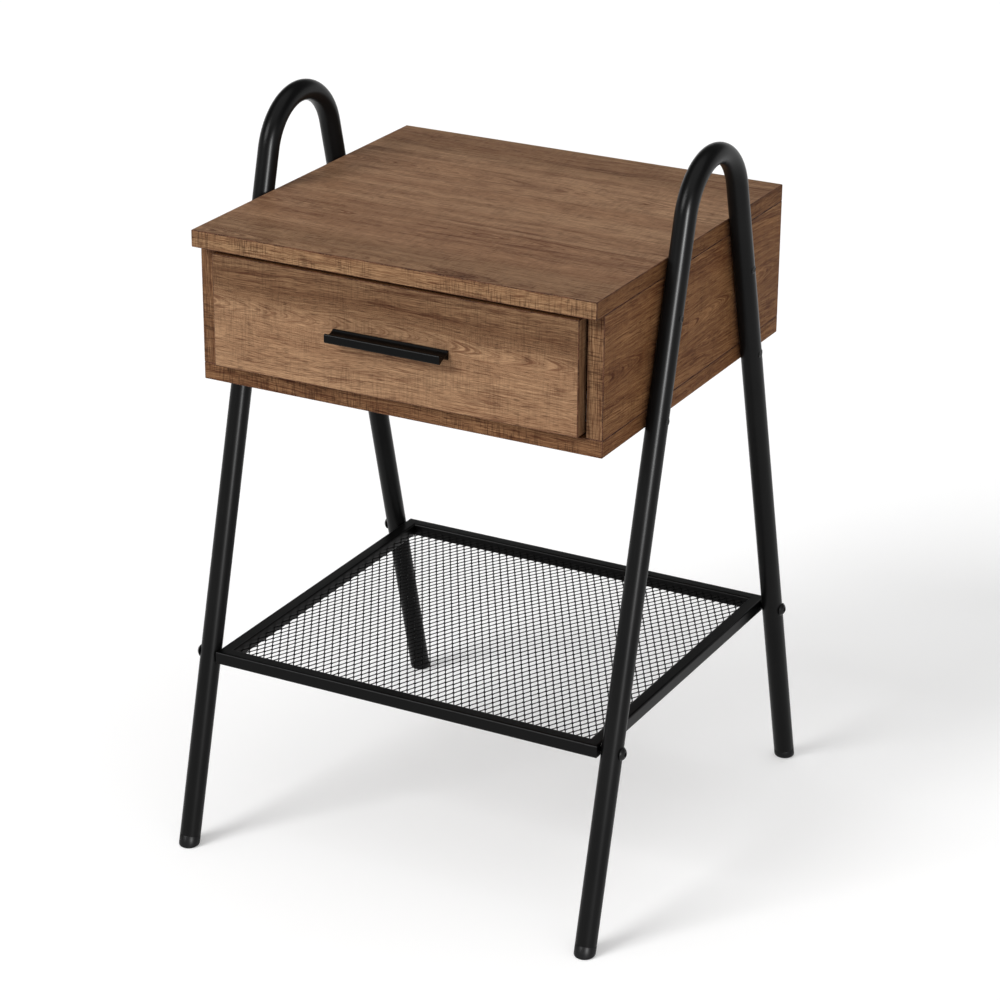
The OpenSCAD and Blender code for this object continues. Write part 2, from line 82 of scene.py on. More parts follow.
class Shader:
    """One procedural material, built node by node."""

    def __init__(self, name):
        self.material = bpy.data.materials.new(name)
        self.material.use_nodes = True
        self.tree = self.material.node_tree
        self.tree.nodes.clear()
        self.surface = self.tree.nodes.new("ShaderNodeBsdfPrincipled")
        out = self.tree.nodes.new("ShaderNodeOutputMaterial")
        self.tree.links.new(self.surface.outputs["BSDF"], out.inputs["Surface"])
        place = self.tree.nodes.new("ShaderNodeTexCoord")
        self.place = place.outputs["Object"]
        split = self.add("ShaderNodeSeparateXYZ", {"Vector": self.place})
        self.axis = {"X": split.outputs["X"], "Y": split.outputs["Y"], "Z": split.outputs["Z"]}

    def add(self, kind, inputs=None, **settings):
        node = self.tree.nodes.new(kind)
        for key, value in settings.items():
            setattr(node, key, value)
        for key, value in (inputs or {}).items():
            self.put(node.inputs[key], value)
        return node

    def put(self, socket, value):
        if isinstance(value, bpy.types.NodeSocket):
            self.tree.links.new(value, socket)
        else:
            socket.default_value = value

    def math(self, kind, a, b=0.0, c=0.0):
        node = self.tree.nodes.new("ShaderNodeMath")
        node.operation = kind
        for socket, value in zip(node.inputs, (a, b, c)):
            self.put(socket, value)
        return node.outputs["Value"]

    def times(self, a, b):
        return self.math("MULTIPLY", a, b)

    def plus(self, a, b):
        return self.math("ADD", a, b)

    def point(self, x, y, z=0.0):
        return self.add("ShaderNodeCombineXYZ", {"X": x, "Y": y, "Z": z}).outputs["Vector"]

    def noise(self, where, scale=1.0, detail=2.0, rough=0.5, twist=0.0):
        node = self.add(
            "ShaderNodeTexNoise",
            {"Vector": where, "Scale": scale, "Detail": detail, "Roughness": rough, "Distortion": twist},
        )
        return node.outputs["Fac"]

    def ramp(self, value, low, high, to_low=0.0, to_high=1.0):
        """Maps low..high to to_low..to_high with a soft start and end, and holds it outside."""
        node = self.add(
            "ShaderNodeMapRange",
            {"Value": value, "From Min": low, "From Max": high, "To Min": to_low, "To Max": to_high},
            interpolation_type="SMOOTHSTEP",
        )
        return node.outputs["Result"]

    def mix(self, amount, a, b, kind="MIX"):
        node = self.add("ShaderNodeMix", data_type="RGBA", blend_type=kind)
        self.put(node.inputs[0], amount)
        self.put(node.inputs[6], a)
        self.put(node.inputs[7], b)
        return node.outputs[2]

    def bump(self, height, distance, strength):
        node = self.add("ShaderNodeBump", {"Height": height, "Distance": distance, "Strength": strength})
        return node.outputs["Normal"]

    def finish(self, **sockets):
        for key, value in sockets.items():
            self.put(self.surface.inputs[key.replace("_", " ")], value)
        return self.material


def srgb(red, green, blue):
    """Linear colour from the 0..255 values that a picture shows"""

    def line(c):
        c /= 255
        return c / 12.92 if c <= 0.04045 else ((c + 0.055) / 1.055) ** 2.4

    return (line(red), line(green), line(blue), 1.0)


def tint(tones, red, green, blue):
    return tuple((c[0] * red, c[1] * green, c[2] * blue, 1.0) for c in tones)


def darken(tone, share):
    return tuple(c * share for c in tone[:3]) + (1,)


# ---- Wood-grain laminate ----

MM_PER_METRE = 1000
PRINT_DEEP = 0.08 * MM
PRINT_SHINE = 0.03
ARRIS_SHINE = 0.08
SHADE_TONE = (0.55, 0.52, 0.49, 1)
ARCH_ROUND_MM2 = 40.0
CALM = 0.08


def wood(
    name, along, across, tones, crests=(), zones=(), shades=(), shift_mm=(0.0, 0.0), slope=0.02,
    wander_mm=9.0, saw=1.0, busy=0.6, lively=1.0,
):
    """Printed wood grain that runs along one axis. tones are (light, mid, dark, pore) colours. Each crest is
    (along_mm, across_mm, reach_mm, opening): nested arches round that point, fading over reach_mm. Each zone
    is (across_mm, half_width_mm, strength): a strip with more dark streaks, or fewer where strength is
    negative. Each shade has the same three values, and multiplies the whole strip darker. saw, busy and
    lively scale the saw marks, the dark streaks and the fine lines."""
    s = Shader(name)
    light, mid, dark, pore = tones
    u = s.times(s.axis[along], MM_PER_METRE)
    v = s.times(s.axis[across], MM_PER_METRE)
    du, dv = s.plus(u, shift_mm[0]), s.plus(v, shift_mm[1])

    def layer(a, a_rate, b, b_rate, seed=0.0, detail=2.0, rough=0.5):
        """Noise over a and b, with so many features per millimetre of each"""
        return s.noise(s.point(s.times(a, a_rate), s.times(b, b_rate), seed), detail=detail, rough=rough)

    # slow wander of the grain, then a small one
    drift = s.times(s.plus(layer(du, 0.006, dv, 0.016, detail=1), -0.5), wander_mm)
    ripple = s.times(s.plus(layer(du, 0.035, dv, 0.11, 7.3, detail=1.5), -0.5), 2.2)
    bent = s.plus(v, s.plus(drift, ripple))

    def strip(centre, half, strength, core):
        """strength within core half widths of the centre, fading to nothing over one half width more"""
        away = s.math("ABSOLUTE", s.plus(bent, -centre))
        return s.ramp(away, half * core, half * (core + 1), strength, 0.0)

    # rings: straight lines that bend into nested arches near each crest
    rings = s.plus(s.plus(bent, shift_mm[1]), s.times(du, slope))
    activity = busy
    for cu, cv, reach, opening in crests:
        side = s.plus(bent, -cv)
        arch = s.math("SQRT", s.plus(s.times(side, side), ARCH_ROUND_MM2))
        arch = s.plus(arch, s.times(s.plus(u, -cu), opening))
        near = s.ramp(s.math("ABSOLUTE", side), reach * 0.3, reach, 1.0, 0.0)
        rings = s.plus(s.times(rings, s.math("SUBTRACT", 1.0, near)), s.times(s.plus(arch, cv), near))
        activity = s.plus(activity, s.times(near, 0.30))
    for centre, half, strength in zones:
        activity = s.plus(activity, strip(centre, half, strength, 0.5))
    activity = s.math("MAXIMUM", activity, CALM)

    # from the widest bands of the rings to the single fibres
    broad = layer(rings, 0.03, du, 0.0016, 3.1, rough=0.6)
    bands = layer(rings, 0.14, du, 0.0035, 1.7, detail=3, rough=0.6)
    lines = layer(rings, 0.48, du, 0.008, 9.2, detail=3, rough=0.62)
    hair = layer(rings, 1.5, du, 0.020, 4.9, rough=0.6)
    fibre = layer(du, 0.06, bent, 3.0, 5.5, detail=3, rough=0.65)
    patch = layer(du, 0.009, dv, 0.022, 4.4)
    fade = s.ramp(layer(du, 0.016, rings, 0.10, 6.1), 0.36, 0.62)

    # fine strokes, each some 30 mm long
    strokes = layer(du, 0.034, rings, 0.85, 3.9, detail=2.5, rough=0.6)

    # thin contour lines of the bands: the late wood of each ring
    late = s.ramp(s.math("ABSOLUTE", s.plus(lines, -0.50)), 0.0, 0.040, 1.0, 0.0)

    # pores: short dark dashes, closer together where a band is dark
    dash = layer(du, 0.11, bent, 2.5, 2.2, detail=1.5)
    pores = s.ramp(s.plus(dash, s.ramp(bands, 0.35, 0.7, -0.03, 0.035)), 0.575, 0.67)

    # saw marks: faint lines across the grain, in patches
    cuts = layer(du, 0.95, dv, 0.07, 6.6, detail=1)
    where = s.ramp(layer(du, 0.03, dv, 0.045, 8.8, detail=1.5), 0.30, 0.60)
    marks = s.times(s.ramp(cuts, 0.44, 0.66), s.times(where, saw))

    # each layer is laid over the ones before it, the widest first
    streak = s.times(s.ramp(bands, 0.47, 0.66), s.times(activity, fade))
    hair_share = s.plus(0.30 * lively, s.times(activity, 0.25))
    colour = s.mix(s.ramp(broad, 0.34, 0.66), mid, light)
    colour = s.mix(s.times(streak, 0.85), colour, dark)
    colour = s.mix(s.times(s.times(late, activity), s.plus(0.26, s.times(fade, 0.50))), colour, dark)
    colour = s.mix(s.times(s.ramp(lines, 0.40, 0.50, 1.0, 0.0), 0.20 * lively), colour, light)
    colour = s.mix(s.times(s.ramp(lines, 0.52, 0.64), 0.30 * lively), colour, dark)
    colour = s.mix(s.times(s.ramp(hair, 0.46, 0.70), hair_share), colour, dark)
    colour = s.mix(s.times(s.ramp(patch, 0.35, 0.75), 0.25), colour, mid)
    colour = s.mix(s.times(s.ramp(fibre, 0.32, 0.62, 1.0, 0.0), 0.42 * lively), colour, dark)
    colour = s.mix(s.times(s.ramp(fibre, 0.52, 0.70), 0.45 * lively), colour, light)
    colour = s.mix(s.times(s.ramp(strokes, 0.54, 0.64), 0.55 * lively), colour, dark)
    colour = s.mix(s.times(pores, 0.62), colour, pore)
    colour = s.mix(s.times(marks, 0.22), colour, pore)
    for centre, half, strength in shades:
        colour = s.mix(strip(centre, half, strength, 0.6), colour, SHADE_TONE, "MULTIPLY")

    height = s.plus(s.times(pores, -1.0), s.plus(s.times(fibre, 0.45), s.times(marks, -0.6)))
    return s.finish(
        Base_Color=colour,
        Roughness=s.plus(0.50, s.plus(s.times(pores, 0.14), s.times(patch, 0.08))),
        Specular_IOR_Level=PRINT_SHINE,
        Normal=s.bump(height, PRINT_DEEP, 0.8),
    )


PRINT_TONES = (srgb(170, 138, 106), srgb(145, 112, 84), srgb(88, 56, 40), srgb(50, 31, 23))
TONES = tint(PRINT_TONES, 1.00, 0.975, 0.99)
# Lit and shaded copies of the one laminate: painted light on the drawer front, and painted shade on the board
# edges, the sides, the undersides and the drawer's own boards.
TONES_FRONT_LIT = tint(TONES, 1.04, 1.04, 1.01)
TONES_EDGE_SHADED = tint(TONES, 0.925, 0.91, 0.83)
TONES_LOW_SHADED = tint(TONES, 0.685, 0.60, 0.51)
TONES_UPRIGHT_SHADED = tint(TONES, 0.76, 0.72, 0.65)
TONES_SIDE_SHADED = tint(TONES, 0.86, 0.715, 0.535)
TONES_DOWEL = (srgb(214, 184, 140),) * 2 + (srgb(170, 132, 90), srgb(140, 104, 70))


def arris(name, tones):
    """The folded edge of the laminate, rubbed a little lighter along its length."""
    s = Shader(name)
    rub = s.noise(s.place, scale=90, detail=3, rough=0.6)
    streak = s.noise(s.place, scale=700, detail=2, rough=0.6)
    colour = s.mix(s.ramp(rub, 0.40, 0.66), tones[2], tones[3])
    colour = s.mix(s.times(s.ramp(streak, 0.45, 0.75), 0.5), colour, tones[1])
    rough = s.plus(0.5, s.times(rub, 0.12))
    return s.finish(Base_Color=colour, Roughness=rough, Specular_IOR_Level=ARRIS_SHINE)


# ---- Other materials ----


def paint(name, tone=0.0012, rough=0.30, level=0.10):
    """Powder coat: a fine orange-peel skin with a few dull patches."""
    s = Shader(name)
    peel = s.noise(s.place, scale=900, detail=2, rough=0.55)
    specks = s.noise(s.place, scale=2600, detail=1)
    dull = s.noise(s.place, scale=14, detail=3, rough=0.6)
    clean = (tone, tone, tone * 1.04, 1)
    dusty = (tone * 1.5, tone * 1.48, tone * 1.5, 1)
    return s.finish(
        Base_Color=s.mix(s.ramp(dull, 0.35, 0.75), clean, dusty),
        Roughness=s.plus(rough - 0.03, s.times(dull, 0.08)),
        Specular_IOR_Level=level,
        Normal=s.bump(s.plus(peel, s.times(specks, 0.35)), 0.02 * MM, 0.5),
    )


def plastic(name, tone, rough, grain=1.0, level=0.4):
    """Moulded plastic with a sparkle of fine grain and a few scuffs."""
    s = Shader(name)
    spark = s.noise(s.place, scale=2400, detail=2, rough=0.6)
    scuff = s.noise(s.place, scale=60, detail=4, rough=0.65)
    return s.finish(
        Base_Color=s.mix(s.ramp(scuff, 0.35, 0.7), darken(tone, 0.82), tone),
        Roughness=s.plus(rough, s.times(scuff, 0.12)),
        Specular_IOR_Level=level,
        Normal=s.bump(spark, 0.04 * MM * grain, 0.6),
    )


def plated(name, tone, rough=0.28):
    """Zinc plate: bright, with a faint cloudy yellow and fine drag lines."""
    s = Shader(name)
    cloud = s.noise(s.place, scale=160, detail=3, rough=0.6)
    drawn = s.point(s.times(s.axis["X"], 300), s.times(s.axis["Y"], 2600), s.times(s.axis["Z"], 2600))
    drag = s.noise(drawn, detail=2)
    warm = (tone[0] * 0.92, tone[1] * 0.86, tone[2] * 0.72, 1)
    return s.finish(
        Base_Color=s.mix(s.ramp(cloud, 0.4, 0.8), tone, warm),
        Metallic=1.0,
        Roughness=s.plus(rough, s.times(drag, 0.16)),
        Normal=s.bump(drag, 0.01 * MM, 0.5),
    )


def hardboard(name, tone):
    """Thin brown board: matted fibres on a smooth face."""
    s = Shader(name)
    mat = s.noise(s.place, scale=420, detail=4, rough=0.7, twist=1.6)
    wide = s.noise(s.place, scale=22, detail=3, rough=0.6)
    darker = darken(tone, 0.66)
    colour = s.mix(s.ramp(mat, 0.35, 0.70), darker, tone)
    colour = s.mix(s.times(s.ramp(wide, 0.4, 0.7), 0.25), colour, darker)
    return s.finish(
        Base_Color=colour,
        Roughness=s.plus(0.62, s.times(mat, 0.16)),
        Specular_IOR_Level=0.3,
        Normal=s.bump(mat, 0.08 * MM, 0.6),
    )


MATERIALS = {
    "top_face": wood(
        "wood_top_face", "X", "Y", TONES,
        crests=((-80, 60, 30, 0.10), (90, -84, 22, 0.05), (-120, -182, 14, 0.09)),
        zones=((-76, 26, 0.55), (150, 22, 0.35), (5, 18, -0.45), (-128, 16, -0.40)),
        shades=((-168, 26, 0.48), (145, 36, 0.50)),
        slope=0.012, shift_mm=(310.0, 40.0),
    ),
    "front_face": wood(
        "wood_front_face", "X", "Z", TONES_FRONT_LIT,
        crests=((-90, 516, 20, 0.10),),
        zones=((542, 14, 0.45), (480, 24, -0.25)),
        shades=((551, 26, 0.88),),
        slope=-0.02, shift_mm=(-140.0, 260.0), wander_mm=14.0, lively=1.2,
    ),
    "side_face": wood(
        "wood_side_face", "Y", "Z", TONES_SIDE_SHADED,
        crests=((0, 504, 24, 0.09),),
        zones=((560, 14, 0.5), (480, 12, 0.3)),
        slope=0.06, shift_mm=(-220.0, 130.0), wander_mm=12.0, lively=1.5,
    ),
    "band_x": wood(
        "wood_band_x", "X", "Z", TONES_EDGE_SHADED,
        slope=0.01, shift_mm=(95.0, 777.0), saw=2.4, busy=0.5, lively=1.5,
    ),
    "band_low": wood(
        "wood_band_low", "X", "Z", TONES_LOW_SHADED,
        slope=0.01, shift_mm=(-60.0, 888.0), saw=2.6, busy=0.8, lively=1.6,
    ),
    "band_y": wood(
        "wood_band_y", "Y", "Z", TONES_SIDE_SHADED,
        # painted shade along the top panel's side edge, over the shaded copy of the tones
        shades=((570, 14, 0.42),),
        shift_mm=(41.0, 333.0), busy=0.7, lively=1.4,
    ),
    "band_z": wood(
        "wood_band_z", "Z", "X", TONES_UPRIGHT_SHADED,
        slope=0.01, shift_mm=(-77.0, 91.0), saw=2.6, lively=1.6,
    ),
    "band_zy": wood(
        "wood_band_zy", "Z", "Y", TONES_UPRIGHT_SHADED,
        slope=0.01, shift_mm=(-77.0, 191.0), saw=1.5, busy=0.8, lively=1.5,
    ),
    "band_yx": wood("wood_band_yx", "Y", "X", TONES_SIDE_SHADED, slope=0.01, shift_mm=(140.0, -60.0)),
    "under_face": wood("wood_under_face", "X", "Y", TONES_SIDE_SHADED, slope=0.01, shift_mm=(505.0, -230.0)),
    "arris": arris("wood_arris", TONES),
    "drawer_face": wood("wood_drawer_face", "Y", "Z", TONES_SIDE_SHADED, shift_mm=(610.0, 480.0), busy=0.4, saw=0.4),
    "drawer_back_face": wood(
        "wood_drawer_back", "X", "Z", TONES_SIDE_SHADED, shift_mm=(-410.0, 390.0), busy=0.4, saw=0.4
    ),
    "hardboard": hardboard("hardboard_brown", srgb(138, 104, 74)),
    "hardboard_light": hardboard("hardboard_drawer", srgb(156, 120, 88)),
    "dowel": wood("wood_dowel", "Z", "X", TONES_DOWEL),
    "frame": paint("paint_frame"),
    "mesh": paint("paint_mesh", tone=0.0016, rough=0.30, level=0.06),
    "handle": paint("paint_handle", tone=0.0008, rough=0.20, level=0.09),
    "bolt": paint("paint_bolt", tone=0.003, rough=0.24, level=0.12),
    "cap": plastic("plastic_cap", (0.0035, 0.0035, 0.0037, 1), rough=0.34, level=0.10),
    "runner": paint("paint_runner", tone=0.45, rough=0.34, level=0.3),
    "roller": plastic("plastic_roller", srgb(222, 221, 214), rough=0.34, grain=0.5),
    "zinc": plated("plated_zinc", (0.70, 0.71, 0.73, 1)),
    "cast": plated("plated_cast", (0.50, 0.50, 0.51, 1), rough=0.42),
}


# ---- Mesh helpers ----


def add_object(name, mesh, body, slot, *nodes, flat=False):
    """Makes the object, lets it ride on its body, and hides the CAD nodes that it stands for. With flat, the
    big faces shade flat and only the rounded edges turn."""
    piece = bpy.data.objects.new(name, mesh)
    if flat:
        piece.modifiers.new("flat_faces", "WEIGHTED_NORMAL").keep_sharp = True
    bpy.context.scene.collection.objects.link(piece)
    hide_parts(*nodes)
    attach(piece, body)
    return piece


def from_bmesh(name, bm, *materials, sharp=35):
    """A mesh from bm, smooth but for edges sharper than that many degrees."""
    bmesh.ops.recalc_face_normals(bm, faces=bm.faces)
    limit = math.radians(sharp)
    for face in bm.faces:
        face.smooth = True
    for edge in bm.edges:
        if len(edge.link_faces) == 2:
            edge.smooth = edge.calc_face_angle(0.0) < limit
    mesh = bpy.data.meshes.new(name)
    bm.to_mesh(mesh)
    bm.free()
    for material in materials:
        mesh.materials.append(material)
    return mesh


def new_ring(bm, points):
    return [bm.verts.new(p) for p in points]


def ring_strip(bm, rings, closed=False):
    """Skins a row of equal rings of vertices. closed joins the last ring to the first."""
    count = len(rings)
    for i in range(count if closed else count - 1):
        a, b = rings[i], rings[(i + 1) % count]
        for j in range(len(a)):
            k = (j + 1) % len(a)
            bm.faces.new((a[j], a[k], b[k], b[j]))


def capped_strip(bm, rings):
    """Skins a row of rings and closes both ends."""
    ring_strip(bm, rings)
    bm.faces.new(rings[0])
    bm.faces.new(rings[-1])


# ---- Boards: the CAD shape, with its outer edges rounded ----

BORE_COVER = 0.6 * MM
ROUNDED_BELOW = 0.995


def cover_bores(bm, plane):
    """Closes the bores that open on one outer face: the laminate runs over them, and each bore ends just
    below it."""

    def on_plane(verts):
        return all(abs(v.co.x - plane) < ON_PLANE for v in verts)

    flat = [f for f in bm.faces if on_plane(f.verts)]
    bmesh.ops.delete(bm, geom=flat, context="FACES_KEEP_BOUNDARY")
    rim = {e for e in bm.edges if len(e.link_faces) < 2 and on_plane(e.verts)}
    stray = [e for e in rim if not e.link_faces]
    rim -= set(stray)
    bmesh.ops.delete(bm, geom=stray, context="EDGES")
    low_y, high_y = min(v.co.y for v in bm.verts), max(v.co.y for v in bm.verts)
    bores = {v for e in rim for v in e.verts if low_y + ON_PLANE < v.co.y < high_y - ON_PLANE}
    for vert in bores:
        vert.co.x -= math.copysign(BORE_COVER, plane)
    bmesh.ops.holes_fill(bm, edges=list(rim), sides=0)


def box_edges(bm, low, high):
    """The edges that lie where two faces of the box low..high meet"""
    found = []
    for edge in bm.edges:
        planes = 0
        for axis in range(3):
            for plane in (low[axis], high[axis]):
                if all(abs(v.co[axis] - plane) < ON_PLANE for v in edge.verts):
                    planes += 1
        if planes >= 2:
            found.append(edge)
    return found


def board(name, body, slot, faces, edge_mm=0.7, cover=()):
    """A bevelled copy of a CAD board. faces gives the material of the faces that look along each axis, and
    cover the ends of the x axis, -1 or 1, whose bores are closed."""
    low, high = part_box(name)
    bm = bmesh.new()
    bm.from_mesh(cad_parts[name].data)
    bmesh.ops.remove_doubles(bm, verts=bm.verts, dist=0.001 * MM)
    bmesh.ops.dissolve_limit(bm, angle_limit=math.radians(0.5), verts=bm.verts, edges=bm.edges)
    for sign in cover:
        cover_bores(bm, (low, high)[sign > 0][0])
    made = bmesh.ops.bevel(
        bm, geom=box_edges(bm, low, high), offset=edge_mm * MM, segments=3, profile=0.5, affect="EDGES",
        clamp_overlap=True,
    )
    rounded = set(made["faces"])
    names = list(dict.fromkeys(faces.values())) + ["arris"]
    for face in bm.faces:
        if face in rounded and abs(max(face.normal, key=abs)) < ROUNDED_BELOW:
            face.material_index = len(names) - 1
        else:
            axis = max(range(3), key=lambda i: abs(face.normal[i]))
            face.material_index = names.index(faces["XYZ"[axis]])
    mesh = from_bmesh(name + "_skin", bm, *[MATERIALS[n] for n in names], sharp=38)
    return add_object(name + "_board", mesh, body, slot, name, flat=True)


TOP_FACES = {"Z": "top_face", "Y": "band_x", "X": "band_y"}
BOTTOM_FACES = {"Z": "under_face", "Y": "band_low", "X": "band_y"}
SIDE_FACES = {"X": "side_face", "Y": "band_z", "Z": "band_yx"}
FRONT_FACES = {"Y": "front_face", "Z": "under_face", "X": "band_zy"}
DRAWER_SIDE_FACES = {"X": "drawer_face", "Y": "band_z", "Z": "band_yx"}
DRAWER_BACK_FACES = {"Y": "drawer_back_face", "X": "band_y", "Z": "under_face"}

board("top_panel", "table", "wood_top", TOP_FACES)
board("bottom_panel", "table", "wood_cabinet", BOTTOM_FACES, cover=(-1, 1))
for side, outward in (("left", -1), ("right", 1)):
    board("side_panel_" + side, "table", "wood_cabinet", SIDE_FACES, cover=(outward,))
    board("drawer_side_" + side, "drawer", "wood_drawer", DRAWER_SIDE_FACES, edge_mm=0.8)
board("drawer_front", "drawer", "wood_front", FRONT_FACES)
board("drawer_back", "drawer", "wood_drawer", DRAWER_BACK_FACES, edge_mm=0.8)


# ---- Side frames ----


def frame_path():
    """Points along the middle of one frame, from the front foot over the hoop to the rear foot, with the
    direction that lies across the tube in the frame's plane."""
    leg_steps = 12
    hoop_steps = 48
    start = Vector((0, -FOOT_Y + CAP_HEAD * math.sin(LEAN), CAP_HEAD * math.cos(LEAN)))
    bend = Vector((0, -HOOP_R * math.cos(LEAN), HOOP_Z + HOOP_R * math.sin(LEAN)))
    across = Vector((0, -math.cos(LEAN), math.sin(LEAN)))
    leg = [(start.lerp(bend, i / leg_steps), across) for i in range(leg_steps)]
    spots = list(leg)
    for i in range(hoop_steps + 1):
        turn = LEAN + (math.pi - 2 * LEAN) * i / hoop_steps
        out = Vector((0, -math.cos(turn), math.sin(turn)))
        spots.append((Vector((0, 0, HOOP_Z)) + out * HOOP_R, out))
    for point, out in reversed(leg):
        spots.append((Vector((0, -point.y, point.z)), Vector((0, -out.y, out.z))))
    return spots


def side_frame(side):
    """One tube, bent into the hoop and its two legs, with its bore."""
    sign = 1 if side == "right" else -1
    bm = bmesh.new()
    rows = []
    for radius in (TUBE_R, TUBE_R - TUBE_WALL):
        row = []
        for point, out in frame_path():
            ring = []
            for j in range(TUBE_SIDES):
                turn = 2 * math.pi * j / TUBE_SIDES
                spot = point + out * (radius * math.cos(turn)) + Vector((radius * math.sin(turn), 0, 0))
                ring.append(Vector((sign * FRAME_X + spot.x, spot.y, spot.z)))
            row.append(new_ring(bm, ring))
        rows.append(row)
    outer, inner = rows
    ring_strip(bm, outer + inner[::-1], closed=True)
    name = "side_frame_" + side
    mesh = from_bmesh(name + "_skin", bm, MATERIALS["frame"])
    return add_object(name + "_tube", mesh, "table", "frame_black", name)


def foot_cap(place, side):
    """A plug flush with the tube. Its foot is cut level with the floor and rounded."""
    sign = 1 if side == "right" else -1
    back = 1 if place == "rear" else -1
    axis = Vector((0, -back * math.sin(LEAN), math.cos(LEAN)))
    across = Vector((0, back * math.cos(LEAN), math.sin(LEAN)))
    base = Vector((sign * FRAME_X, back * FOOT_Y, 0))
    bm = bmesh.new()

    def rim(radius):
        """Points round the leg's axis at its lower end"""
        turns = [2 * math.pi * j / TUBE_SIDES for j in range(TUBE_SIDES)]
        return [base + across * (radius * math.cos(t)) + Vector((radius * math.sin(t), 0, 0)) for t in turns]

    def level_ring(height, radius):
        return new_ring(bm, [spot + axis * ((height - spot.z) / axis.z) for spot in rim(radius)])

    def square_ring(far, radius):
        return new_ring(bm, [spot + axis * far for spot in rim(radius)])

    foot_round = 2.4 * MM
    foot_steps = 6
    seam = 0.35 * MM
    plug_r = TUBE_R - TUBE_WALL - 0.1 * MM
    plug_ease = 1 * MM
    rings = []
    for i in range(foot_steps, -1, -1):
        turn = math.pi / 2 * i / foot_steps
        height = foot_round * (1 - math.sin(turn))
        rings.append(level_ring(height, TUBE_R - foot_round * (1 - math.cos(turn))))
    rings.append(square_ring(CAP_HEAD - seam, TUBE_R))
    rings.append(square_ring(CAP_HEAD, TUBE_R - seam))
    rings.append(square_ring(CAP_HEAD, plug_r))
    rings.append(square_ring(CAP_HEAD + CAP_PLUG - plug_ease, plug_r))
    rings.append(square_ring(CAP_HEAD + CAP_PLUG, plug_r - plug_ease))
    ring_strip(bm, rings)
    for ring, centre in ((rings[0], base), (rings[-1], base + axis * (CAP_HEAD + CAP_PLUG))):
        middle = bm.verts.new(centre)
        for j in range(TUBE_SIDES):
            bm.faces.new((middle, ring[j], ring[(j + 1) % TUBE_SIDES]))
    name = "foot_cap_%s_%s" % (place, side)
    mesh = from_bmesh(name + "_skin", bm, MATERIALS["cap"], sharp=50)
    return add_object(name + "_plug", mesh, "table", "cap_black", name)


STRIP_LIT = []
for side in ("left", "right"):
    STRIP_LIT.append(side_frame(side))
    for place in ("front", "rear"):
        STRIP_LIT.append(foot_cap(place, side))


# ---- Shelf ----


def shelf_frame():
    """Square tube with rounded corners, mitred into a rectangle."""
    half = SHELF_TUBE / 2
    corner = 1.9 * MM
    corner_steps = 4
    section = []
    for sx, sz, first in ((1, 1, 0), (-1, 1, 90), (-1, -1, 180), (1, -1, 270)):
        for i in range(corner_steps + 1):
            turn = math.radians(first + 90 * i / corner_steps)
            a = sx * (half - corner) + corner * math.cos(turn)
            b = sz * (half - corner) + corner * math.sin(turn)
            section.append((a, b))
    bm = bmesh.new()
    rings = []
    for sx, sy in ((1, 1), (-1, 1), (-1, -1), (1, -1)):
        corner_cut = [(sx * (SHELF_X + a), sy * (SHELF_Y + a), SHELF_Z + b) for a, b in section]
        rings.append(new_ring(bm, corner_cut))
    ring_strip(bm, rings, closed=True)
    mesh = from_bmesh("shelf_frame_skin", bm, MATERIALS["frame"], sharp=40)
    return add_object("shelf_frame_tube", mesh, "table", "frame_black", "shelf_frame", flat=True)


LONG_WAY = 13.55 * MM
SHORT_WAY = 7.73 * MM
STRAND = 1.12 * MM
BOND = 1.10 * MM
BOND_RISE = 0.12 * MM
SHEET = 0.4 * MM
CROWN = 5.0 * MM
MESH_INSET = 1.0 * MM


def mesh_bond(bm, x, y, z):
    """The twelve corners of one bond, by their place across it, along it and through the sheet"""
    corners = {}
    for sx, lift in ((-1, BOND_RISE), (0, 0.0), (1, -BOND_RISE)):
        for sy in (-1, 1):
            for sz in (-1, 1):
                spot = (x + sx * STRAND, y + sy * BOND, z + lift + sz * SHEET / 2)
                corners[sx, sy, sz] = bm.verts.new(spot)
    return corners


def bond_end(corners, sx_pair, sy):
    """The ring of four corners where a strand leaves a bond"""
    a, b = sx_pair
    return [corners[a, sy, -1], corners[b, sy, -1], corners[b, sy, 1], corners[a, sy, 1]]


def expanded_mesh():
    """Expanded metal: flat bonds joined by slanted strands round long openings. Welding leaves the
    sheet a little crowned."""
    reach_x = SHELF_X - MESH_INSET
    reach_y = SHELF_Y - MESH_INSET
    count_x = int(reach_x / (SHORT_WAY / 2))
    count_y = int(reach_y / (LONG_WAY / 2))
    left_half, right_half = (-1, 0), (0, 1)
    bm = bmesh.new()
    bonds = {}
    for i in range(-count_x, count_x + 1):
        for j in range(-count_y, count_y + 1):
            if (i + j) % 2:
                continue
            x, y = i * SHORT_WAY / 2, j * LONG_WAY / 2
            swell = math.cos(math.pi / 2 * x / reach_x) * math.cos(math.pi / 2 * y / reach_y)
            bonds[i, j] = mesh_bond(bm, x, y, SHELF_Z + CROWN * swell)
    for (i, j), c in bonds.items():
        for a, b in (left_half, right_half):
            for sz in (-1, 1):
                bm.faces.new((c[a, -1, sz], c[b, -1, sz], c[b, 1, sz], c[a, 1, sz]))
        for sx in (-1, 1):
            bm.faces.new((c[sx, -1, -1], c[sx, 1, -1], c[sx, 1, 1], c[sx, -1, 1]))
        for step, near, far in ((-1, left_half, right_half), (1, right_half, left_half)):
            if (i + step, j + 1) in bonds:
                ring_strip(bm, [bond_end(c, near, 1), bond_end(bonds[i + step, j + 1], far, -1)])
            else:
                bm.faces.new(bond_end(c, near, 1))
            if (i + step, j - 1) not in bonds:
                bm.faces.new(bond_end(c, near, -1))
    mesh = from_bmesh("shelf_mesh_skin", bm, MATERIALS["mesh"], sharp=30)
    return add_object("shelf_mesh_metal", mesh, "table", "mesh_black", "shelf_mesh")


shelf_frame()
expanded_mesh()


# ---- Handle ----


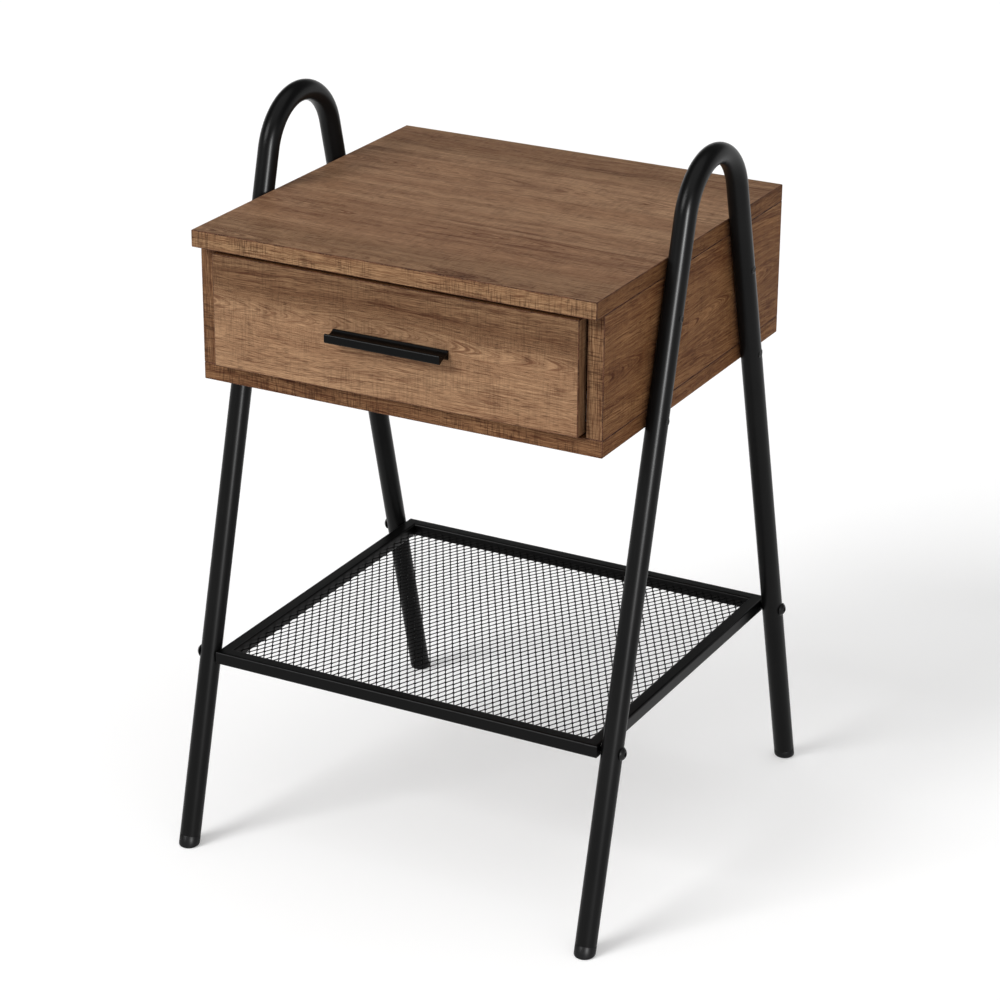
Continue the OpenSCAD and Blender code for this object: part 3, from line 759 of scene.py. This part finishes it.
def handle_section():
    """The bar's outline as (y, z) about its middle height: lip, scoop and back edge, then the same below."""
    half = HANDLE_HIGH / 2
    lip_round = 1.4 * MM
    lip_steps = 7
    back_ease = 0.4 * MM
    back_steps = 4
    scoop_steps = 16
    front = HANDLE_BACK_Y - HANDLE_DEPTH
    middle = HANDLE_BACK_Y - HANDLE_DEPTH / 2
    scoop_deep = (HANDLE_HIGH - HANDLE_WEB) / 2
    chord = HANDLE_DEPTH - 2 * HANDLE_LIP
    scoop_r = (chord * chord / 4 + scoop_deep * scoop_deep) / (2 * scoop_deep)
    spread = math.asin(chord / 2 / scoop_r)
    top = []
    for i in range(lip_steps + 1):
        turn = math.radians(180 - 90 * i / lip_steps)
        y = front + lip_round + lip_round * math.cos(turn)
        top.append((y, half - lip_round + lip_round * math.sin(turn)))
    for i in range(scoop_steps + 1):
        turn = -spread + 2 * spread * i / scoop_steps
        top.append((middle + scoop_r * math.sin(turn), HANDLE_WEB / 2 + scoop_r * (1 - math.cos(turn))))
    for i in range(back_steps + 1):
        turn = math.radians(90 - 90 * i / back_steps)
        y = HANDLE_BACK_Y - back_ease + back_ease * math.cos(turn)
        top.append((y, half - back_ease + back_ease * math.sin(turn)))
    return top + [(y, -z) for y, z in reversed(top)]


def handle():
    """The extruded bar, hollowed along its top and underside, with every edge eased."""
    section = handle_section()
    end_ease = 0.3 * MM
    end_x = HANDLE_LEN / 2
    mean_y = sum(y for y, z in section) / len(section)
    bm = bmesh.new()
    rings = []
    for x, shrink in ((-end_x, end_ease), (-end_x + end_ease, 0), (end_x - end_ease, 0), (end_x, end_ease)):
        ky = 1 - shrink / (HANDLE_DEPTH / 2)
        kz = 1 - shrink / (HANDLE_HIGH / 2)
        rings.append(new_ring(bm, [(x, mean_y + (y - mean_y) * ky, HANDLE_Z + z * kz) for y, z in section]))
    capped_strip(bm, rings)
    mesh = from_bmesh("drawer_handle_skin", bm, MATERIALS["handle"], sharp=32)
    return add_object("drawer_handle_bar", mesh, "drawer", "handle_black", "drawer_handle", flat=True)


handle()


# ---- Bolts that show ----


def lathe(bm, place, profile, key_rings):
    """Turns a profile of (distance along the bolt, radius) round place's z axis and closes both ends. The
    last key_rings rings are six-sided, and their radius is to the middle of a flat."""
    around = 36
    sixth = math.pi / 3
    rings = []
    for count, (far, radius) in enumerate(profile):
        points = []
        for j in range(around):
            turn = 2 * math.pi * j / around
            reach = radius
            if count >= len(profile) - key_rings:
                reach = radius / math.cos((turn + sixth / 2) % sixth - sixth / 2)
            points.append(place @ Vector((reach * math.cos(turn), reach * math.sin(turn), far)))
        rings.append(new_ring(bm, points))
    capped_strip(bm, rings)


def dome_bolts(name, spots, shank_mm, head_mm, high_mm, sunk_mm=0.0):
    """Low domed heads with a hexagon socket. Each spot is (x, y, z, sign): the head's seat and its way out
    along x. The heads sink sunk_mm below the seat."""
    tip_r, shank_r = 1.6 * MM, 2.2 * MM
    key_r = 2 * MM
    tip = 1 * MM
    rim = 0.15 * MM
    rim_ease = 0.2 * MM
    dome_steps = 9
    mouth_r = key_r * 1.25
    mouth_bevel = 0.1 * MM
    lift = 0.02 * MM
    socket_share = 0.6
    shank = shank_mm * MM
    head_r = head_mm / 2 * MM
    high = high_mm * MM
    ball_r = (head_r * head_r + high * high) / (2 * high)
    profile = [(-shank, tip_r), (-shank + tip, shank_r), (0, shank_r), (0, head_r - rim_ease), (rim, head_r)]
    for i in range(1, dome_steps + 1):
        far = head_r - (head_r - mouth_r) * i / dome_steps
        profile.append((math.sqrt(ball_r * ball_r - far * far) - (ball_r - high) + lift, far))
    lip = profile[-1][0]
    profile += [(lip - mouth_bevel, key_r), (lip - high * socket_share, key_r)]
    bm = bmesh.new()
    for x, y, z, sign in spots:
        seat = Matrix.Translation((x - sign * sunk_mm * MM, y, z))
        lathe(bm, seat @ Matrix.Rotation(sign * math.pi / 2, 4, "Y"), profile, key_rings=2)
    mesh = from_bmesh(name + "_skin", bm, MATERIALS["bolt"], sharp=34)
    return add_object(name + "_set", mesh, "table", "bolt_black", name)


def leg_y(z):
    return FOOT_Y - z * math.tan(LEAN)


def both_frames(heights):
    """A seat on the outer side of all four legs, at each height"""
    outer = FRAME_X + TUBE_R
    return [(s * outer, e * leg_y(z), z, s) for s in (1, -1) for e in (1, -1) for z in heights]


FRAME_SEATS = both_frames(FRAME_BOLT_HEIGHTS)
SHELF_SEATS = both_frames((SHELF_Z,))
STRIP_LIT.append(dome_bolts("frame_bolts", FRAME_SEATS, shank_mm=29, head_mm=8, high_mm=1, sunk_mm=0.5))
STRIP_LIT.append(dome_bolts("shelf_bolts", SHELF_SEATS, shank_mm=28, head_mm=12, high_mm=3.5))


# ---- Inserts: the CAD shape, drawn in under the laminate ----


def board_inserts():
    under = 0.8 * MM
    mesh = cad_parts["board_inserts"].data.copy()
    reach = max(abs(v.co.x) for v in mesh.vertices) - under
    for vert in mesh.vertices:
        if abs(vert.co.x) > reach:
            vert.co.x = math.copysign(reach, vert.co.x)
    mesh.materials.clear()
    mesh.materials.append(MATERIALS["zinc"])
    return add_object("board_inserts_set", mesh, "table", "zinc_screws", "board_inserts")


board_inserts()


# ---- CAD pieces that keep their shape ----

KEPT = {
    "hardboard": ["back_panel"],
    "hardboard_light": ["drawer_bottom"],
    "dowel": ["wood_dowels"],
    "runner": ["cabinet_runner_left", "cabinet_runner_right", "drawer_runner_left", "drawer_runner_right"],
    "roller": ["cabinet_roller_left", "cabinet_roller_right", "drawer_roller_left", "drawer_roller_right"],
    "cast": ["cam_locks", "drawer_cam_locks"],
    "zinc": [
        "handle_screws", "drawer_cam_bolts", "drawer_back_screws", "drawer_bottom_screws",
        "cabinet_roller_pins", "drawer_roller_pins", "cabinet_runner_screws", "drawer_runner_screws",
        "shelf_nuts", "cam_bolts", "long_screws",
    ],
}
for key, nodes in KEPT.items():
    for node in nodes:
        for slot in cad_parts[node].material_slots:
            slot.link = "OBJECT"
            slot.material = MATERIALS[key]


# ---- Floor, light and camera ----

FLOOR_HALF = 70
FLOOR_GLOW = 0.40
WALL_FADE = {"From Min": 0.14, "From Max": 0.34, "To Min": 1.0, "To Max": 0.11}


def floor():
    """A pale floor that reaches the horizon, with a little glow to lighten its shadows."""
    s = Shader("floor_pale")
    cloud = s.noise(s.place, scale=0.8, detail=2)
    colour = s.mix(cloud, (0.74, 0.74, 0.74, 1), (0.77, 0.77, 0.77, 1))
    material = s.finish(
        Base_Color=colour,
        Roughness=0.85,
        Specular_IOR_Level=0.1,
        Emission_Color=colour,
        Emission_Strength=FLOOR_GLOW,
    )
    bm = bmesh.new()
    bmesh.ops.create_grid(bm, x_segments=8, y_segments=8, size=FLOOR_HALF)
    mesh = from_bmesh("floor_skin", bm, material)
    piece = bpy.data.objects.new("floor", mesh)
    bpy.context.scene.collection.objects.link(piece)


def towards(azimuth, elevation):
    """The direction of a place in the room. Azimuth 0 is in front of the drawer and 90 on its right."""
    a, e = math.radians(azimuth), math.radians(elevation)
    return Vector((math.sin(a) * math.cos(e), -math.cos(a) * math.cos(e), math.sin(e)))


def add_light(name, data, away):
    light = bpy.data.objects.new(name, data)
    light.rotation_euler = (-away).to_track_quat("-Z", "Y").to_euler()
    bpy.context.scene.collection.objects.link(light)
    return light


def wide_light(name, away, angle, strength):
    """A very large, distant soft box: its light is even over the whole floor."""
    data = bpy.data.lights.new(name, "SUN")
    data.angle = math.radians(angle)
    data.energy = strength
    add_light(name, data, away)


def strip_light(name, away, distance, size, power, aim, lit):
    """A tall soft box that looks at aim and lights only the objects in lit, for the bright line on them."""
    data = bpy.data.lights.new(name, "AREA")
    data.shape = "RECTANGLE"
    data.size, data.size_y = size
    data.energy = power
    light = add_light(name, data, away)
    light.location = Vector(aim) + away * distance
    light.visible_camera = False
    receivers = bpy.data.collections.new(name + "_receivers")
    for piece in lit:
        receivers.objects.link(piece)
    light.light_linking.receiver_collection = receivers


def studio_walls():
    """Pale near the horizon, so that low views see a wall, and dim above it."""
    world = bpy.data.worlds.new("studio")
    world.use_nodes = True
    tree = world.node_tree
    place = tree.nodes.new("ShaderNodeTexCoord")
    split = tree.nodes.new("ShaderNodeSeparateXYZ")
    fade = tree.nodes.new("ShaderNodeMapRange")
    fade.interpolation_type = "SMOOTHSTEP"
    for key, value in WALL_FADE.items():
        fade.inputs[key].default_value = value
    background = tree.nodes["Background"]
    background.inputs["Color"].default_value = (1.0, 1.0, 1.0, 1)
    tree.links.new(place.outputs["Generated"], split.inputs["Vector"])
    tree.links.new(split.outputs["Z"], fade.inputs["Value"])
    tree.links.new(fade.outputs["Result"], background.inputs["Strength"])
    bpy.context.scene.world = world


def camera(place, aim, lens_mm, roll):
    data = bpy.data.cameras.new("camera")
    data.sensor_width = 36
    data.lens = lens_mm
    data.clip_end = 200
    eye = bpy.data.objects.new("camera", data)
    eye.location = place
    look = (Vector(aim) - eye.location).to_track_quat("-Z", "Y").to_matrix()
    eye.rotation_euler = (look @ Matrix.Rotation(math.radians(roll), 3, "Z")).to_euler()
    bpy.context.scene.collection.objects.link(eye)
    bpy.context.scene.camera = eye


floor()
wide_light("key_left", towards(-27, 34), angle=26, strength=2.3)
wide_light("overhead", towards(20, 80), angle=70, strength=1.35)
strip_light("strip", towards(44, 12), 2.2, size=(0.40, 0.9), power=120, aim=(0.2, -0.1, 0.5), lit=STRIP_LIT)
studio_walls()
bpy.context.scene.view_settings.view_transform = "Standard"
camera((1.2338, -2.2981, 1.3942), aim=(0.0190, -0.0300, 0.3150), lens_mm=114.15, roll=0.36)
